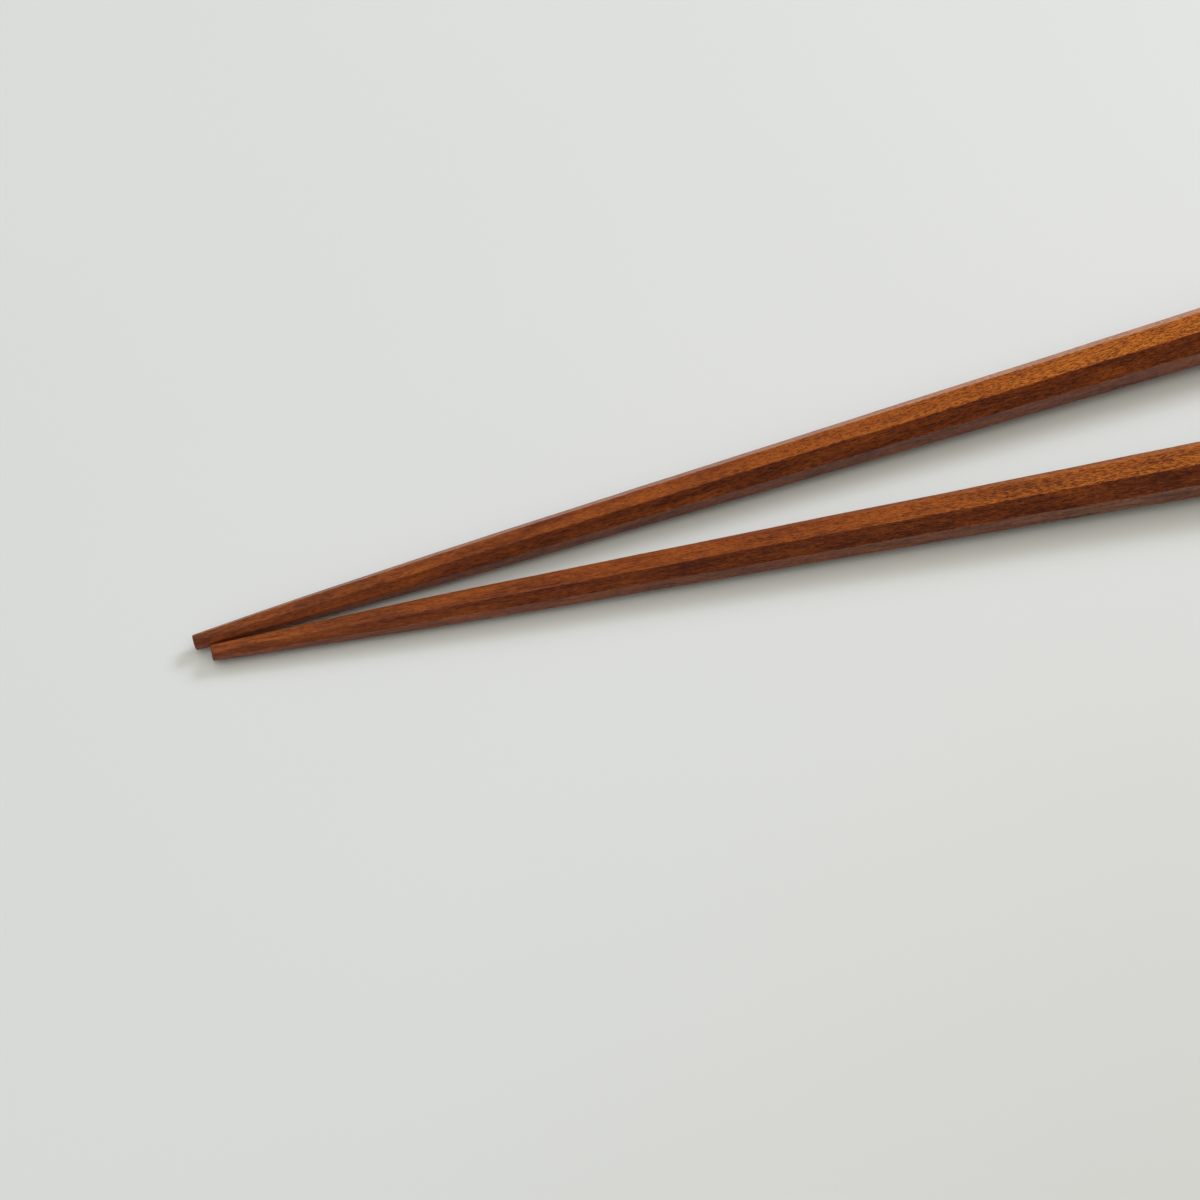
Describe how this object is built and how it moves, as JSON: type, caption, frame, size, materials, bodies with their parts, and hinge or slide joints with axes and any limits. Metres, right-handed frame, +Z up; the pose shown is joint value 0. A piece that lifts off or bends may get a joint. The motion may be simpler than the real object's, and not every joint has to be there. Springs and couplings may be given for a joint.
{
  "type": "pair of wooden chopsticks",
  "caption": "Octagonal planed hardwood chopsticks lying tips together, each tapering in a long curve from a parallel handle to a fine cut-off tip.",
  "frame": {"origin": "on the table under the middle of the pair, halfway along and halfway between the sticks", "axes": "+X from the tips to the handles midway between the sticks, +Z up from the table, +Y from the front stick to the back stick"},
  "size_m": [0.2316, 0.041, 0.0088],
  "materials": {
    "oiled_hardwood": "satin oil finish, fine straight grain with short dark pores"
  },
  "bodies": {
    "root": {"back_chopstick": "oiled_hardwood", "front_chopstick": "oiled_hardwood"}
  },
  "joints": []
}
